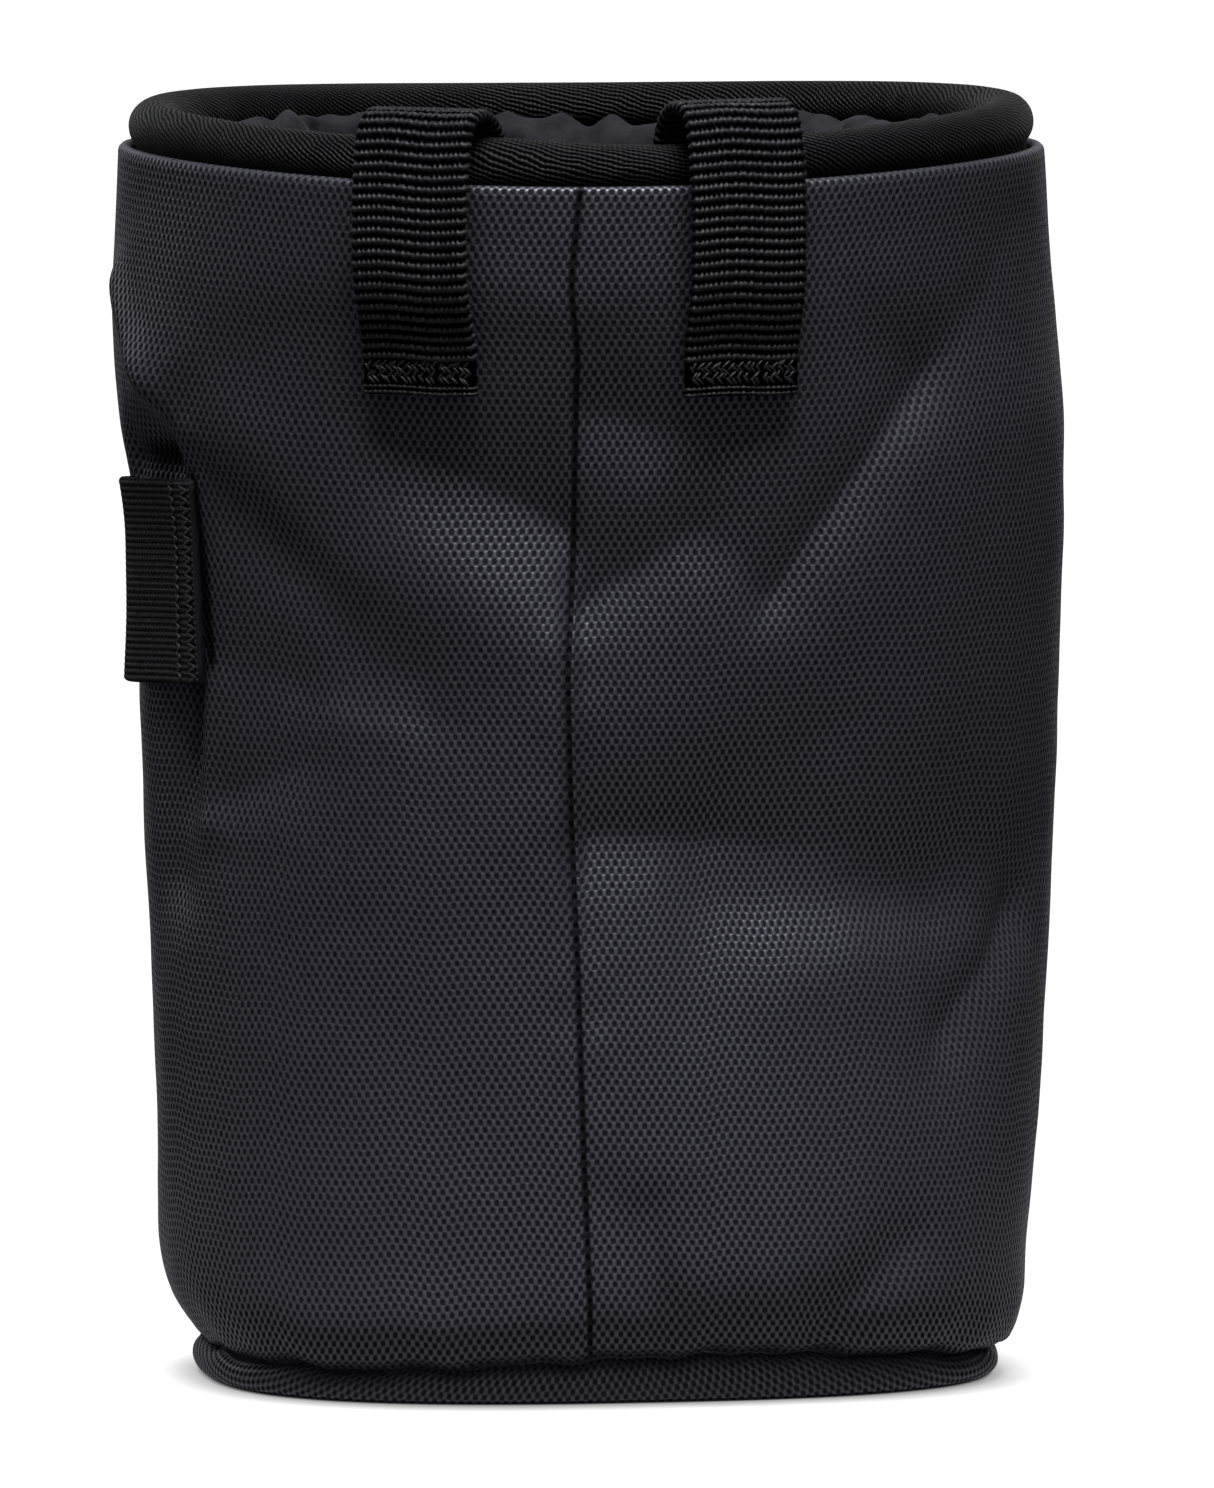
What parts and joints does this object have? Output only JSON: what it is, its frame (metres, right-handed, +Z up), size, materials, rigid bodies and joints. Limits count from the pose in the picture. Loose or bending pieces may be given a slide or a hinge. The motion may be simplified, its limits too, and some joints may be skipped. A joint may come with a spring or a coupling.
{
  "type": "climbing chalk bag",
  "caption": "Open cloth bucket on a rolled-edge base, with a taped cord rim, a gathered inner collar, webbing belt loops and an elastic brush band.",
  "frame": {"origin": "centre of the base's flat underside", "axes": "+Z up, through the open mouth; -Y towards the wearer, the side with the belt loops; +X to the right as that side is seen"},
  "size_m": [0.1232, 0.1131, 0.1684],
  "materials": {
    "body_cloth": "woven polyester with a slight sheen",
    "base_cloth": "woven polyester with a slight sheen",
    "rim_tape": "twill tape, matte",
    "collar_cloth": "thin nylon, soft sheen",
    "webbing": "ribbed webbing, matte",
    "elastic": "ribbed elastic, matte"
  },
  "bodies": {
    "root": {"shell": "body_cloth", "base_panel": "base_cloth", "rim": "rim_tape", "collar": "collar_cloth", "belt_loop_left": "webbing", "belt_loop_right": "webbing", "brush_band": "elastic"}
  },
  "joints": []
}
